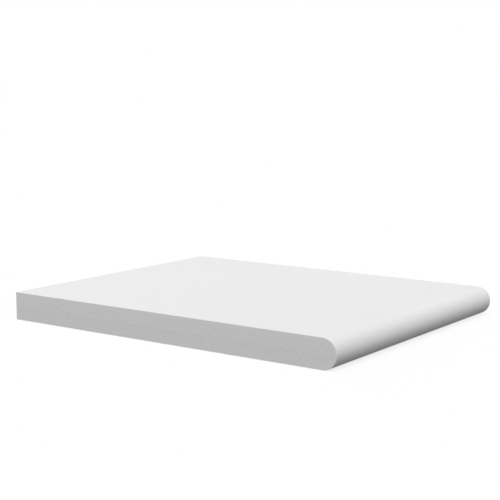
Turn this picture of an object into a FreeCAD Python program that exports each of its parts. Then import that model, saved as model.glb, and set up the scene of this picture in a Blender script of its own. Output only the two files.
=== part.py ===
import FreeCAD, Part

import math
import os

import Sketcher

# Window sill board: one flat board with a full half-round nose along its front edge.
#
# Frame, in millimetres: +X runs along the board, -Y is the front, where the nose points into
# the room, and +Z is up. The origin is the middle of the board's footprint, on the underside.
# The back edge stands at +Y, where the board meets the window frame.

PARTS_FOLDER = "parts"

# The driving dimensions. The nose has none of its own: it is tangent to the top and to the
# underside, so its radius is always half the thickness.
DIMENSIONS = {
    "board_thickness": (18.0, "underside to top"),
    "board_depth": (244.0, "back edge to the tip of the nose"),
    "board_length": (195.0, "sawn end to sawn end"),
    "arris_radius": (0.15, "easing of every square edge, where the board was sanded down"),
}

# Two faces that turn less than this at the edge they share run into each other smoothly,
# and their edge has no arris to ease.
SMOOTH_EDGE_DEGREES = 1.0

# The numbers by which a constraint names a point of a line or an arc, and the section's own
# origin and horizontal axis.
START, END, CENTRE = 1, 2, 3
ORIGIN, HORIZONTAL_AXIS = -1, -1


def fill_dimensions_sheet(doc):
    sheet = doc.addObject("Spreadsheet::Sheet", "Dimensions")
    for row, (alias, (size, meaning)) in enumerate(DIMENSIONS.items(), start=1):
        sheet.set(f"A{row}", alias)
        sheet.set(f"B{row}", str(size))
        sheet.setAlias(f"B{row}", alias)
        sheet.set(f"C{row}", meaning)
    doc.recompute()
    return sheet


def origin_plane(body, role):
    for feature in body.Origin.OriginFeatures:
        if feature.Role == role:
            return feature
    raise RuntimeError(f"the body has no {role}")


def draw_profile(body, sheet):
    """The board's cross-section, with the sketch's own X along the depth and its Y upwards."""
    sketch = body.newObject("Sketcher::SketchObject", "BoardProfile")
    sketch.AttachmentSupport = [(origin_plane(body, "YZ_Plane"), "")]
    sketch.MapMode = "FlatFace"

    half_depth = sheet.board_depth / 2
    nose_radius = sheet.board_thickness / 2
    nose_centre = nose_radius - half_depth

    def point(y, z):
        return FreeCAD.Vector(y, z, 0)

    def line(start, end):
        return sketch.addGeometry(Part.LineSegment(point(*start), point(*end)), False)

    underside = line((nose_centre, 0), (half_depth, 0))
    back_edge = line((half_depth, 0), (half_depth, sheet.board_thickness))
    top = line((half_depth, sheet.board_thickness), (nose_centre, sheet.board_thickness))
    round_nose = Part.Circle(point(nose_centre, nose_radius), FreeCAD.Vector(0, 0, 1), nose_radius)

    def quarter_of_nose(start_quarter):
        start_angle = start_quarter * math.pi / 2
        arc = Part.ArcOfCircle(round_nose, start_angle, start_angle + math.pi / 2)
        return sketch.addGeometry(arc, False)

    upper_nose = quarter_of_nose(1)
    lower_nose = quarter_of_nose(2)

    def constrain(kind, *references):
        return sketch.addConstraint(Sketcher.Constraint(kind, *references))

    constrain("Coincident", underside, END, back_edge, START)
    constrain("Coincident", back_edge, END, top, START)
    constrain("Tangent", top, END, upper_nose, START)
    constrain("Tangent", lower_nose, END, underside, START)
    constrain("Vertical", back_edge)
    constrain("Horizontal", top)
    constrain("PointOnObject", underside, START, HORIZONTAL_AXIS)
    constrain("PointOnObject", underside, END, HORIZONTAL_AXIS)

    # The two quarters of the nose share their centre and meet at the tip, level with it.
    constrain("Coincident", upper_nose, END, lower_nose, START)
    constrain("Coincident", upper_nose, CENTRE, lower_nose, CENTRE)
    constrain("Horizontal", upper_nose, END, upper_nose, CENTRE)

    def dimension(name, kind, references, size, formula):
        index = constrain(kind, *references, size)
        sketch.renameConstraint(index, name)
        sketch.setExpression(f"Constraints.{name}", formula)

    dimension(
        "Thickness",
        "DistanceY",
        (back_edge, START, back_edge, END),
        sheet.board_thickness,
        "Dimensions.board_thickness",
    )
    dimension(
        "OriginToBack",
        "DistanceX",
        (ORIGIN, START, back_edge, START),
        half_depth,
        "Dimensions.board_depth / 2",
    )
    dimension(
        "NoseToOrigin",
        "DistanceX",
        (upper_nose, END, ORIGIN, START),
        half_depth,
        "Dimensions.board_depth / 2",
    )
    return sketch


def run_profile_along_board(body, sketch):
    board = body.newObject("PartDesign::Pad", "BoardLength")
    board.Profile = sketch
    board.Midplane = True
    board.setExpression("Length", "Dimensions.board_length")
    return board


def square_edges(shape):
    """The names of the edges where two faces meet at an angle, so none that runs along the nose."""
    names = []
    for number, edge in enumerate(shape.Edges, start=1):
        middle = edge.valueAt((edge.FirstParameter + edge.LastParameter) / 2)
        normals = []
        for face in shape.ancestorsOfType(edge, Part.Face):
            u, v = face.Surface.parameter(middle)
            normals.append(face.normalAt(u, v))
        turn = normals[0].getAngle(normals[1])
        if math.degrees(turn) > SMOOTH_EDGE_DEGREES:
            names.append(f"Edge{number}")
    return names


def ease_square_edges(doc, body, board):
    doc.recompute()
    easing = body.newObject("PartDesign::Fillet", "EasedArrises")
    easing.Base = (board, square_edges(board.Shape))
    easing.setExpression("Radius", "Dimensions.arris_radius")
    return easing


def make_sill_board(doc, sheet):
    body = doc.addObject("PartDesign::Body", "SillBoard")
    body.Label = "sill_board"
    profile = draw_profile(body, sheet)
    board = run_profile_along_board(body, profile)
    body.Tip = ease_square_edges(doc, body, board)
    return body


def check_document(doc):
    for item in doc.Objects:
        if "Invalid" in item.State or "Error" in item.State:
            raise RuntimeError(f"{item.Label} failed to build")


def export_board(body):
    shape = body.Shape
    if shape.isNull() or not shape.isValid() or len(shape.Solids) != 1:
        raise RuntimeError(f"{body.Label} is not one valid solid")
    os.makedirs(PARTS_FOLDER, exist_ok=True)
    shape.exportStep(os.path.join(PARTS_FOLDER, body.Label + ".step"))


def main():
    doc = FreeCAD.newDocument("WindowSillBoard")
    sheet = fill_dimensions_sheet(doc)
    sill_board = make_sill_board(doc, sheet)
    doc.recompute()
    check_document(doc)
    export_board(sill_board)


main()
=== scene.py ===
"""A primed window sill board with a half-round nose, on the pale floor of a small studio."""

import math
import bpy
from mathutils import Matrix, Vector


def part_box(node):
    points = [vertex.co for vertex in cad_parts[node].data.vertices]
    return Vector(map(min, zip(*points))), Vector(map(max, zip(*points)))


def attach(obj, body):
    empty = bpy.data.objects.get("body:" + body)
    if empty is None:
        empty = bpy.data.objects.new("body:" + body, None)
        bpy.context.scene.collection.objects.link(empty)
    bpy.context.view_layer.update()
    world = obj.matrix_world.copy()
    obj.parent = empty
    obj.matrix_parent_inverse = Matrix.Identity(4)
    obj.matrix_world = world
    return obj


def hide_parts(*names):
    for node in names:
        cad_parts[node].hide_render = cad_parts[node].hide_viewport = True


bl_info = {
    "name": "Window Sill Board",
    "version": (1, 0, 0),
    "blender": (4, 5, 0),
    "location": "3D View > Sidebar > Sill Board",
    "description": "A primed window sill board with a half-round nose, and its studio",
    "category": "Add Mesh",
}

import bmesh
import bpy
from bpy.props import (
    FloatProperty,
    FloatVectorProperty,
    IntProperty,
    PointerProperty,
)
from mathutils import Vector

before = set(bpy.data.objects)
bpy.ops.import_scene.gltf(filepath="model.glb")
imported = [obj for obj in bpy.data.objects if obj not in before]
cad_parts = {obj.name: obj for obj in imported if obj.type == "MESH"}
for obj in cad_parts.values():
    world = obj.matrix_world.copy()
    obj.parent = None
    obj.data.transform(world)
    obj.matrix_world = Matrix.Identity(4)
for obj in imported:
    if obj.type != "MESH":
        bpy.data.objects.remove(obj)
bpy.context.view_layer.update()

BOARD_LOW, BOARD_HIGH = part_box("sill_board")

MM = 0.001
MICRON = 0.000001

# Corners nearer than this are one corner.
SAME_POINT = 0.001 * MM

# Faces that meet at more than this have an arris between them. The facets of the nose don't.
ARRIS_ANGLE = math.radians(30)

# A face that looks along the board at least this squarely is on a sawn end.
END_SQUARENESS = 0.999

# The bevel's profile that is a true round.
ROUND_PROFILE = 0.5

# How far large faces outweigh small ones where the shading of a corner is worked out. It is the
# modifier's highest value, and it keeps the flat faces flat.
LARGE_FACE_WEIGHT = 100

# The board's own map goes by this name, so that its finish is baked through it.
BAKED_MAP = "OFBake"

# Room round each island of that map, as a share of the map's width.
MAP_MARGIN = 0.004

# Noise lies about its middle and seldom leaves this range.
NOISE_LOW, NOISE_MIDDLE, NOISE_HIGH = 0.25, 0.5, 0.75

# How strongly dry primer bends light, which sets how much it reflects.
PRIMER_IOR = 1.48

# How much duller than the flat faces a sawn end is.
END_EXTRA_ROUGHNESS = 0.05

# How many times narrower, and how many times lower, the fine tooth is than the roller's pips.
TOOTH_NARROWER, TOOTH_LOWER = 5, 8

# How high the pips stand on the nose, as a share of their height on the flat faces.
NOSE_PIPS = 0.5

# A line that the cutter left on the nose is this many times as long as it is wide.
LINE_STRETCH = 250

# The spindle of the saw that cut the ends: behind their middle, and below the board.
SAW_SPINDLE = Vector((0, 50 * MM, -170 * MM))

# How far the saw's arcs stray from true circles, as a wave texture counts it.
SAW_STRAY = 2.0

# A wave texture packs this many radians into each metre, at a scale of 1.
WAVE_RADIANS = 20

# How many times lower a tuft of fibre is at the top or the underside than halfway up.
TUFT_FALL = 3

# How many tufts of fibre make one clump, counted across it.
TUFTS_IN_CLUMP = 4

# The camera's sensor, in Blender's millimetres.
SENSOR_WIDTH = 36


class SillBoardSizes(bpy.types.PropertyGroup):
    """How large the board is, and how finely its mesh is divided."""

    length: FloatProperty(
        name="Length",
        description="From sawn end to sawn end",
        default=BOARD_HIGH.x - BOARD_LOW.x,
        min=20 * MM,
        unit="LENGTH",
        subtype="DISTANCE",
    )
    depth: FloatProperty(
        name="Depth",
        description="From the back edge to the tip of the nose",
        default=BOARD_HIGH.y - BOARD_LOW.y,
        min=30 * MM,
        unit="LENGTH",
        subtype="DISTANCE",
    )
    thickness: FloatProperty(
        name="Thickness",
        description="From the underside to the top, which is also across the nose",
        default=BOARD_HIGH.z - BOARD_LOW.z,
        min=4 * MM,
        unit="LENGTH",
        subtype="DISTANCE",
    )
    arris_radius: FloatProperty(
        name="Arris Radius",
        description="Easing of every square edge, where the board was sanded down",
        default=0.15 * MM,
        min=0.05 * MM,
        precision=5,
        unit="LENGTH",
        subtype="DISTANCE",
    )
    nose_facets: IntProperty(
        name="Nose Facets",
        description="Facets in each quarter of the round nose",
        default=32,
        min=4,
        max=96,
    )
    arris_facets: IntProperty(
        name="Arris Facets",
        description="Facets across each eased arris",
        default=4,
        min=1,
        max=12,
    )
    cuts_along: IntProperty(
        name="Cuts Along",
        description="Lines of edges that cross the board, evenly spaced along its length",
        default=11,
        min=0,
        max=60,
    )
    cuts_across: IntProperty(
        name="Cuts Across",
        description="Lines of edges that run along the board, evenly spaced over its flat faces",
        default=13,
        min=0,
        max=60,
    )


class SillBoardFinish(bpy.types.PropertyGroup):
    """The primer's colour and dullness, and the fine relief under it."""

    primer_colour: FloatVectorProperty(
        name="Primer",
        description="Colour of the primer where it lies thickest",
        default=(0.85, 0.85, 0.85),
        min=0,
        max=1,
        size=3,
        subtype="COLOR",
    )
    thin_primer_colour: FloatVectorProperty(
        name="Thin Primer",
        description="Colour of the primer where it lies thinnest",
        default=(0.83, 0.83, 0.83),
        min=0,
        max=1,
        size=3,
        subtype="COLOR",
    )
    coat_width: FloatProperty(
        name="Coat Width",
        description="Size of the stretches over which the primer thickens and thins",
        default=60 * MM,
        min=1 * MM,
        unit="LENGTH",
        subtype="DISTANCE",
    )
    roughness: FloatProperty(
        name="Roughness",
        description="How dull the primer is, on average",
        default=0.75,
        min=0,
        max=1,
        subtype="FACTOR",
    )
    roughness_spread: FloatProperty(
        name="Roughness Spread",
        description="How far the primer's dullness departs from its average, either way",
        default=0.05,
        min=0,
        max=0.2,
        subtype="FACTOR",
    )
    dull_patch_width: FloatProperty(
        name="Dull Patch Width",
        description="Size of the patches that are duller than the rest",
        default=9 * MM,
        min=1 * MM,
        unit="LENGTH",
        subtype="DISTANCE",
    )
    stipple_width: FloatProperty(
        name="Stipple Width",
        description="Distance between the pips that the primer roller leaves",
        default=0.8 * MM,
        min=0.1 * MM,
        unit="LENGTH",
        subtype="DISTANCE",
    )
    stipple_height: FloatProperty(
        name="Stipple Height",
        description="Height of the roller's pips, from the lowest hollow to the highest pip of all",
        default=180 * MICRON,
        min=0,
        precision=6,
        unit="LENGTH",
        subtype="DISTANCE",
    )
    cutter_line_width: FloatProperty(
        name="Cutter Line Width",
        description="Distance between the lines that nicks in the cutter leave along the nose",
        default=0.45 * MM,
        min=0.05 * MM,
        unit="LENGTH",
        subtype="DISTANCE",
    )
    cutter_line_depth: FloatProperty(
        name="Cutter Line Depth",
        description="Depth of the lines that nicks in the cutter leave along the nose",
        default=40 * MICRON,
        min=0,
        precision=6,
        unit="LENGTH",
        subtype="DISTANCE",
    )
    saw_mark_pitch: FloatProperty(
        name="Saw Mark Pitch",
        description="Distance between the arcs that the saw leaves on the ends",
        default=1.7 * MM,
        min=0.2 * MM,
        unit="LENGTH",
        subtype="DISTANCE",
    )
    saw_mark_depth: FloatProperty(
        name="Saw Mark Depth",
        description="Depth of the saw's arcs on the ends, where it cut deepest",
        default=20 * MICRON,
        min=0,
        precision=6,
        unit="LENGTH",
        subtype="DISTANCE",
    )
    saw_patch_width: FloatProperty(
        name="Saw Patch Width",
        description="Size of the patches of the ends where the saw marks show",
        default=14 * MM,
        min=1 * MM,
        unit="LENGTH",
        subtype="DISTANCE",
    )
    fibre_width: FloatProperty(
        name="Fibre Width",
        description="Size of the tufts of fibre that stand up on the sawn ends",
        default=0.5 * MM,
        min=0.05 * MM,
        unit="LENGTH",
        subtype="DISTANCE",
    )
    fibre_height: FloatProperty(
        name="Fibre Height",
        description="Height of the tufts of fibre halfway up, where the board is loosest",
        default=160 * MICRON,
        min=0,
        precision=6,
        unit="LENGTH",
        subtype="DISTANCE",
    )


class SillBoardStudio(bpy.types.PropertyGroup):
    """Where the camera and the lamps stand, and how the floor and the room show."""

    camera_place: FloatVectorProperty(
        name="Camera Place",
        description="Where the camera stands",
        default=(-0.619705, -0.439684, 0.153453),
        size=3,
        unit="LENGTH",
        subtype="TRANSLATION",
    )
    camera_pitch: FloatProperty(
        name="Camera Pitch",
        description="How far the camera looks down",
        default=math.radians(8.1616),
        unit="ROTATION",
        subtype="ANGLE",
    )
    camera_turn: FloatProperty(
        name="Camera Turn",
        description="Turn of the camera from looking at the nose squarely, clockwise from above",
        default=math.radians(54.3597),
        unit="ROTATION",
        subtype="ANGLE",
    )
    camera_lens: FloatProperty(
        name="Camera Lens",
        description=f"Focal length, on a sensor {SENSOR_WIDTH} mm wide",
        default=84.499,
        min=10,
        unit="CAMERA",
    )
    floor_width: FloatProperty(
        name="Floor Width",
        description="Side of the square floor",
        default=16.0,
        min=1,
        unit="LENGTH",
        subtype="DISTANCE",
    )
    floor_gap: FloatProperty(
        name="Floor Gap",
        description="How far the floor lies under the board, so that they don't share a plane",
        default=0.05 * MM,
        min=0,
        precision=5,
        unit="LENGTH",
        subtype="DISTANCE",
    )
    floor_shadow: FloatProperty(
        name="Floor Shadow",
        description="How much of the floor's white is taken away where no light reaches it",
        default=0.2,
        min=0,
        max=1,
        subtype="FACTOR",
    )
    floor_bounce: FloatProperty(
        name="Floor Bounce",
        description="How much of the light on the floor is thrown back at the board",
        default=0.153,
        min=0,
        max=1,
        subtype="FACTOR",
    )
    room_light: FloatProperty(
        name="Room Light",
        description="Strength of the even light from all round",
        default=0.407,
        min=0,
    )
    key_strength: FloatProperty(
        name="Key Strength",
        description="Strength of the main lamp, on a surface that faces it",
        default=2.035,
        min=0,
    )
    key_height: FloatProperty(
        name="Key Height",
        description="How high the main lamp stands above the horizon",
        default=math.radians(54.6),
        unit="ROTATION",
        subtype="ANGLE",
    )
    key_turn: FloatProperty(
        name="Key Turn",
        description="Turn of the main lamp from facing the nose squarely, clockwise from above",
        default=math.radians(50.7),
        unit="ROTATION",
        subtype="ANGLE",
    )
    fill_strength: FloatProperty(
        name="Fill Strength",
        description="Strength of the weaker lamp behind the board, on a surface that faces it",
        default=0.45,
        min=0,
    )
    fill_height: FloatProperty(
        name="Fill Height",
        description="How high the weaker lamp stands above the horizon",
        default=math.radians(12),
        unit="ROTATION",
        subtype="ANGLE",
    )
    fill_turn: FloatProperty(
        name="Fill Turn",
        description="Turn of the weaker lamp from facing the nose squarely, clockwise from above",
        default=math.radians(-150),
        unit="ROTATION",
        subtype="ANGLE",
    )
    lamp_breadth: FloatProperty(
        name="Lamp Breadth",
        description="How broad the lamps look from the board, which softens their shadows",
        default=math.radians(46),
        min=0,
        max=math.pi,
        unit="ROTATION",
        subtype="ANGLE",
    )


def deselect_everything():
    bpy.ops.object.select_all(action="DESELECT")


def edit(board):
    """Opens the board in edit mode with nothing selected, and gives its mesh to select in."""
    bpy.ops.object.mode_set(mode="EDIT")
    bpy.ops.mesh.select_mode(type="EDGE")
    bpy.ops.mesh.select_all(action="DESELECT")
    return bmesh.from_edit_mesh(board.data)


def leave_edit():
    bpy.ops.object.mode_set(mode="OBJECT")


def nose_start(sizes):
    """The Y at which the flat faces end and the nose begins."""
    return sizes.thickness / 2 - sizes.depth / 2


def add_blank(sizes):
    """The square-edged blank that the board is made from, with its place in its mesh."""
    deselect_everything()
    bpy.ops.mesh.primitive_cube_add(
        size=1,
        location=(0, 0, sizes.thickness / 2),
        scale=(sizes.length, sizes.depth, sizes.thickness),
    )
    bpy.ops.object.transform_apply(location=True, rotation=True, scale=True)
    blank = bpy.context.object
    blank.name = blank.data.name = "primed_board"
    return blank


def round_nose(board, sizes):
    """Turns the two long front edges into one half round, which takes up the whole thickness."""
    mesh = edit(board)
    front = -sizes.depth / 2
    for edge in mesh.edges:
        one_end, other_end = (corner.co for corner in edge.verts)
        off_front = max(abs(one_end.y - front), abs(other_end.y - front))
        run_along_board = abs(one_end.x - other_end.x)
        edge.select = off_front < SAME_POINT and run_along_board > SAME_POINT
    bmesh.update_edit_mesh(board.data)
    bpy.ops.mesh.bevel(
        offset=sizes.thickness / 2,
        segments=sizes.nose_facets,
        profile=ROUND_PROFILE,
        affect="EDGES",
        clamp_overlap=False,
    )
    bpy.ops.mesh.select_all(action="SELECT")
    bpy.ops.mesh.remove_doubles(threshold=SAME_POINT)
    leave_edit()


def ease_arrises(board, sizes):
    """Rounds every edge that is still square, the nose's outline at both ends among them."""
    edit(board)
    bpy.ops.mesh.edges_select_sharp(sharpness=ARRIS_ANGLE)
    bpy.ops.mesh.bevel(
        offset=sizes.arris_radius,
        segments=sizes.arris_facets,
        profile=ROUND_PROFILE,
        affect="EDGES",
        clamp_overlap=False,
    )
    leave_edit()


def even_out_faces(board, sizes):
    """Cuts the long faces into a grid of near-square ones."""
    grids = (
        (Vector((1, 0, 0)), -sizes.length / 2, sizes.length / 2, sizes.cuts_along),
        (Vector((0, 1, 0)), nose_start(sizes), sizes.depth / 2, sizes.cuts_across),
    )
    edit(board)
    for axis, low, high, cuts in grids:
        step = (high - low) / (cuts + 1)
        for cut in range(1, cuts + 1):
            bpy.ops.mesh.select_all(action="SELECT")
            bpy.ops.mesh.bisect(
                plane_co=axis * (low + cut * step),
                plane_no=axis,
                threshold=SAME_POINT,
            )
    leave_edit()


def turn_faces_outwards(board):
    edit(board)
    bpy.ops.mesh.select_all(action="SELECT")
    bpy.ops.mesh.normals_make_consistent(inside=False)
    leave_edit()


def lay_out_map(board, sizes):
    """Unfolds the board's skin: the top with the nose, the underside, the back and both ends."""
    flats_start = nose_start(sizes)

    def side(face):
        along, outwards, upwards = face.normal
        if abs(along) > math.hypot(outwards, upwards):
            return "sawn end"
        if outwards > abs(upwards):
            return "back"
        if upwards < 0 and face.calc_center_median().y > flats_start:
            return "underside"
        return "top and nose"

    board.data.uv_layers.active.name = BAKED_MAP
    mesh = edit(board)
    for edge in mesh.edges:
        one_face, other_face = edge.link_faces
        edge.seam = side(one_face) != side(other_face)
    bmesh.update_edit_mesh(board.data)
    bpy.ops.mesh.select_all(action="SELECT")
    bpy.ops.uv.unwrap(method="CONFORMAL", margin_method="FRACTION", margin=MAP_MARGIN)
    leave_edit()


def smooth_rounds_only(board):
    """Shades the nose and the arrises smooth, while the flat faces stay dead flat."""
    bpy.ops.object.shade_smooth()
    bpy.ops.object.modifier_add(type="WEIGHTED_NORMAL")
    flatten = board.modifiers[-1]
    flatten.mode = "FACE_AREA"
    flatten.weight = LARGE_FACE_WEIGHT
    bpy.ops.object.modifier_apply(modifier=flatten.name)


def check_closed(board):
    mesh = bmesh.new()
    mesh.from_mesh(board.data)
    open_edges = sum(not edge.is_manifold for edge in mesh.edges)
    volume = mesh.calc_volume(signed=True)
    mesh.free()
    if open_edges or volume <= 0:
        raise RuntimeError(f"{board.name} isn't closed, or its faces point inwards")


def grey(value):
    return (value, value, value, 1)


class Nodes:
    """Adds nodes to a material or a world from left to right, and links them as it goes."""

    column_width = 220

    def __init__(self, owner):
        owner.use_nodes = True
        self.tree = owner.node_tree
        self.tree.nodes.clear()

    def add(self, kind, label, *values, settings=None, **named_values):
        """Adds a node and gives its inputs these values, in order or by name.

        A value is what the input is set to, or the output that feeds it. A name has _ for a space.
        """
        column = len(self.tree.nodes)
        node = self.tree.nodes.new(kind)
        node.label = label
        node.location = (column * self.column_width, 0)
        for name, value in (settings or {}).items():
            setattr(node, name, value)
        inputs = list(zip(node.inputs, values))
        for name, value in named_values.items():
            inputs.append((node.inputs[name.replace("_", " ")], value))
        for socket, value in inputs:
            if isinstance(value, bpy.types.NodeSocket):
                self.tree.links.new(value, socket)
            else:
                socket.default_value = value
        return node

    def math(self, label, operation, *values):
        node = self.add("ShaderNodeMath", label, *values, settings={"operation": operation})
        return node.outputs["Value"]

    def noise(self, label, place, width, detail=2.0):
        """Noise from 0 to 1 in lumps about this wide, with this many finer layers on them."""
        node = self.add(
            "ShaderNodeTexNoise", label, Vector=place, Scale=1 / width, Detail=detail
        )
        return node.outputs["Fac"]

    def over(self, label, value, before, after):
        """Turns a value that runs over the first pair of numbers into one over the second pair."""
        node = self.add(
            "ShaderNodeMapRange",
            label,
            Value=value,
            From_Min=before[0],
            From_Max=before[1],
            To_Min=after[0],
            To_Max=after[1],
        )
        return node.outputs["Result"]

    def relief(self, label, *layers):
        """Adds up layers, each a pair of a pattern from 0 to 1 and how high it stands."""
        total = 0.0
        for pattern, height in layers:
            total = self.math(label, "MULTIPLY_ADD", pattern, height, total)
        return total


def primed_material(name, sizes, finish, make_relief, extra_roughness):
    """White primer over the relief that the given function makes, all on object coordinates."""
    material = bpy.data.materials.new(name)
    material.diffuse_color = (*finish.primer_colour, 1)
    nodes = Nodes(material)
    place = nodes.add("ShaderNodeTexCoord", "Place on the board").outputs["Object"]

    colour = nodes.add(
        "ShaderNodeMixRGB",
        "Primer colour",
        Fac=nodes.noise("How thick the primer lies", place, finish.coat_width, detail=4.0),
        Color1=(*finish.thin_primer_colour, 1),
        Color2=(*finish.primer_colour, 1),
    )
    average = finish.roughness + extra_roughness
    roughness = nodes.over(
        "Roughness",
        nodes.noise("Dull patches", place, finish.dull_patch_width, detail=5.0),
        (NOISE_LOW, NOISE_HIGH),
        (average - finish.roughness_spread, average + finish.roughness_spread),
    )
    height = make_relief(nodes, place, sizes, finish)
    bump = nodes.add("ShaderNodeBump", "Relief in metres", Height=height, Distance=1.0)
    primer = nodes.add(
        "ShaderNodeBsdfPrincipled",
        "Primer",
        Base_Color=colour.outputs["Color"],
        Roughness=roughness,
        Normal=bump.outputs["Normal"],
        IOR=PRIMER_IOR,
    )
    nodes.add("ShaderNodeOutputMaterial", "Surface", Surface=primer.outputs["BSDF"])
    return material


def roller_stipple(nodes, place, sizes, finish):
    """Rounded pips all over, with a finer tooth on and between them."""
    pips = nodes.noise("Roller pips", place, finish.stipple_width)
    tooth = nodes.noise("Fine tooth", place, finish.stipple_width / TOOTH_NARROWER, detail=1.0)
    return nodes.relief(
        "Stipple", (pips, finish.stipple_height), (tooth, finish.stipple_height / TOOTH_LOWER)
    )


def cutter_lines(nodes, place, sizes, finish):
    """Fine lines that the moulding cutter left along the nose, and lower pips over them."""
    drawn_out = nodes.add(
        "ShaderNodeMapping",
        "Drawn out along the board",
        Vector=place,
        Scale=(1 / LINE_STRETCH, 1, 1),
    )
    lines = nodes.noise(
        "Cutter lines", drawn_out.outputs["Vector"], finish.cutter_line_width, detail=3.0
    )
    pips = nodes.noise("Roller pips", place, finish.stipple_width)
    return nodes.relief(
        "Nose", (lines, finish.cutter_line_depth), (pips, finish.stipple_height * NOSE_PIPS)
    )


def sawn_fibre(nodes, place, sizes, finish):
    """Arcs of the saw that come and go, and tufts of fibre that stand highest halfway up."""
    from_spindle = nodes.add(
        "ShaderNodeMapping", "From the saw's spindle", Vector=place, Location=-SAW_SPINDLE
    )
    arcs = nodes.add(
        "ShaderNodeTexWave",
        "Saw marks",
        Vector=from_spindle.outputs["Vector"],
        Scale=math.tau / (WAVE_RADIANS * finish.saw_mark_pitch),
        Distortion=SAW_STRAY,
        Detail=2.0,
        settings={"wave_type": "RINGS", "rings_direction": "X"},
    )
    arc_depth = nodes.over(
        "Depth of the saw marks",
        nodes.noise("Where the saw marks show", place, finish.saw_patch_width),
        (NOISE_MIDDLE, NOISE_HIGH),
        (0, finish.saw_mark_depth),
    )

    halfway = sizes.thickness / 2
    up_the_end = nodes.add("ShaderNodeSeparateXYZ", "Up the end", Vector=place).outputs["Z"]
    above_halfway = nodes.math("Above halfway", "SUBTRACT", up_the_end, halfway)
    tuft_height = nodes.over(
        "Height of the tufts",
        nodes.math("Away from halfway", "ABSOLUTE", above_halfway),
        (0, halfway),
        (finish.fibre_height, finish.fibre_height / TUFT_FALL),
    )
    tufts = nodes.noise("Fibre tufts", place, finish.fibre_width, detail=4.0)
    clumps = nodes.noise("Clumps of tufts", place, finish.fibre_width * TUFTS_IN_CLUMP)
    return nodes.relief(
        "Sawn end",
        (arcs.outputs["Fac"], arc_depth),
        (tufts, tuft_height),
        (clumps, tuft_height),
    )


def finish_board(board, sizes, finish):
    """Gives the flat faces, the nose and the sawn ends their own finish."""
    finishes = (
        ("rolled_primer", roller_stipple, 0),
        ("primed_nose", cutter_lines, 0),
        ("primed_sawn_end", sawn_fibre, END_EXTRA_ROUGHNESS),
    )
    for name, make_relief, extra_roughness in finishes:
        primer = primed_material(name, sizes, finish, make_relief, extra_roughness)
        board.data.materials.append(primer)

    flats, nose, ends = range(len(finishes))
    flats_start = nose_start(sizes)
    for face in board.data.polygons:
        if abs(face.normal.x) > END_SQUARENESS:
            face.material_index = ends
        elif face.center.y < flats_start:
            face.material_index = nose
        else:
            face.material_index = flats


class SILL_OT_add_board(bpy.types.Operator):
    """Model the board and prime it: flat faces, half-round nose, square back and sawn ends"""

    bl_idname = "sill.add_board"
    bl_label = "Add Board"
    bl_options = {"REGISTER", "UNDO"}

    def execute(self, context):
        sizes = context.scene.sill_board_sizes
        board = add_blank(sizes)
        round_nose(board, sizes)
        ease_arrises(board, sizes)
        even_out_faces(board, sizes)
        turn_faces_outwards(board)
        check_closed(board)
        lay_out_map(board, sizes)
        finish_board(board, sizes, context.scene.sill_board_finish)
        smooth_rounds_only(board)
        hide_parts("sill_board")
        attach(board, "root")
        return {"FINISHED"}


def seen_directly(nodes):
    """1 where the camera sees a thing, straight or mirrored, and 0 for the light it throws."""
    path = nodes.add("ShaderNodeLightPath", "Kind of ray").outputs
    seen = path["Is Camera Ray"]
    for other in ("Is Glossy Ray", "Is Transmission Ray"):
        seen = nodes.math("Or", "MAXIMUM", seen, path[other])
    return seen


def lay_floor(studio):
    """A white floor that keeps a faint shadow, and throws back less light than it shows."""
    deselect_everything()
    bpy.ops.mesh.primitive_plane_add(size=studio.floor_width, location=(0, 0, -studio.floor_gap))
    bpy.ops.object.transform_apply(location=True, rotation=True, scale=True)
    floor = bpy.context.object
    floor.name = floor.data.name = "studio_floor"

    # The floor glows just so much that it shows as white wherever nothing shades it.
    lamp_light = studio.key_strength * math.sin(studio.key_height)
    lamp_light += studio.fill_strength * math.sin(studio.fill_height)
    open_floor_light = studio.room_light + lamp_light / math.pi
    glow_strength = 1 - studio.floor_shadow * open_floor_light

    material = bpy.data.materials.new("studio_white")
    nodes = Nodes(material)
    seen = seen_directly(nodes)
    bounce = nodes.add("ShaderNodeBsdfDiffuse", "Bounce", Color=grey(studio.floor_bounce))
    shaded = nodes.add("ShaderNodeBsdfDiffuse", "Takes shadow", Color=grey(studio.floor_shadow))
    glow = nodes.add("ShaderNodeEmission", "Rest of the white", Strength=glow_strength)
    white = nodes.add(
        "ShaderNodeAddShader", "White floor", shaded.outputs["BSDF"], glow.outputs["Emission"]
    )
    either = nodes.add(
        "ShaderNodeMixShader",
        "By kind of ray",
        seen,
        bounce.outputs["BSDF"],
        white.outputs["Shader"],
    )
    nodes.add("ShaderNodeOutputMaterial", "Surface", Surface=either.outputs["Shader"])
    floor.data.materials.append(material)


def light_room(scene, studio):
    """Even light from all round, behind a backdrop that shows as white."""
    world = bpy.data.worlds.new("studio_room")
    scene.world = world
    nodes = Nodes(world)
    seen = seen_directly(nodes)
    strength = nodes.over("Strength", seen, (0, 1), (studio.room_light, 1))
    background = nodes.add("ShaderNodeBackground", "Room", Color=grey(1), Strength=strength)
    nodes.add("ShaderNodeOutputWorld", "World", Surface=background.outputs["Background"])


def hang_lamp(name, strength, height, turn, breadth):
    """A broad lamp a long way off, so that it is as strong on every part of the board."""
    deselect_everything()
    bpy.ops.object.light_add(type="SUN", rotation=(math.pi / 2 - height, 0, -turn))
    lamp = bpy.context.object
    lamp.name = lamp.data.name = name
    lamp.data.energy = strength
    lamp.data.angle = breadth


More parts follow.
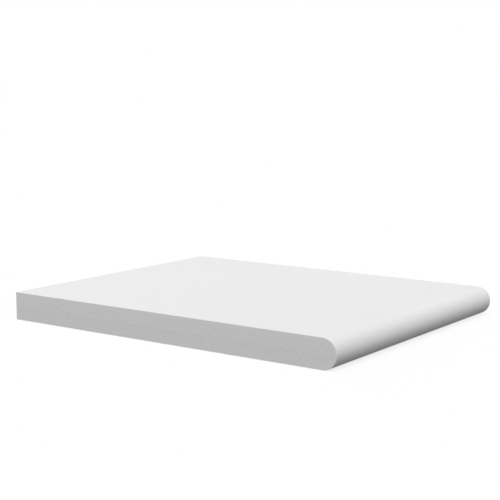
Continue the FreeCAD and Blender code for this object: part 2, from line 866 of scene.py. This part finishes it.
def stand_camera(scene, studio):
    deselect_everything()
    bpy.ops.object.camera_add(
        location=studio.camera_place,
        rotation=(math.pi / 2 - studio.camera_pitch, 0, -studio.camera_turn),
    )
    camera = bpy.context.object
    camera.name = camera.data.name = "picture_camera"
    camera.data.sensor_width = SENSOR_WIDTH
    camera.data.lens = studio.camera_lens
    scene.camera = camera


class SILL_OT_add_studio(bpy.types.Operator):
    """Set up the pale floor, the even room light, the two lamps and the camera"""

    bl_idname = "sill.add_studio"
    bl_label = "Add Studio"
    bl_options = {"REGISTER", "UNDO"}

    def execute(self, context):
        scene = context.scene
        studio = scene.sill_board_studio
        lay_floor(studio)
        light_room(scene, studio)
        for name, strength, height, turn in (
            ("key_lamp", studio.key_strength, studio.key_height, studio.key_turn),
            ("fill_lamp", studio.fill_strength, studio.fill_height, studio.fill_turn),
        ):
            hang_lamp(name, strength, height, turn, studio.lamp_breadth)
        stand_camera(scene, studio)
        scene.view_settings.view_transform = "Standard"
        return {"FINISHED"}


class SILL_PT_board(bpy.types.Panel):
    bl_label = "Sill Board"
    bl_idname = "SILL_PT_board"
    bl_space_type = "VIEW_3D"
    bl_region_type = "UI"
    bl_category = "Sill Board"

    def draw(self, context):
        scene = context.scene
        for operator, groups in (
            (SILL_OT_add_board, (scene.sill_board_sizes, scene.sill_board_finish)),
            (SILL_OT_add_studio, (scene.sill_board_studio,)),
        ):
            box = self.layout.box()
            box.operator(operator.bl_idname)
            for group in groups:
                for name in type(group).__annotations__:
                    box.prop(group, name)


CLASSES = (
    SillBoardSizes,
    SillBoardFinish,
    SillBoardStudio,
    SILL_OT_add_board,
    SILL_OT_add_studio,
    SILL_PT_board,
)


def register():
    for cls in CLASSES:
        bpy.utils.register_class(cls)
    bpy.types.Scene.sill_board_sizes = PointerProperty(type=SillBoardSizes)
    bpy.types.Scene.sill_board_finish = PointerProperty(type=SillBoardFinish)
    bpy.types.Scene.sill_board_studio = PointerProperty(type=SillBoardStudio)


def unregister():
    del bpy.types.Scene.sill_board_studio
    del bpy.types.Scene.sill_board_finish
    del bpy.types.Scene.sill_board_sizes
    for cls in reversed(CLASSES):
        bpy.utils.unregister_class(cls)


def main():
    register()
    bpy.ops.sill.add_board()
    bpy.ops.sill.add_studio()


if __name__ == "__main__":
    main()
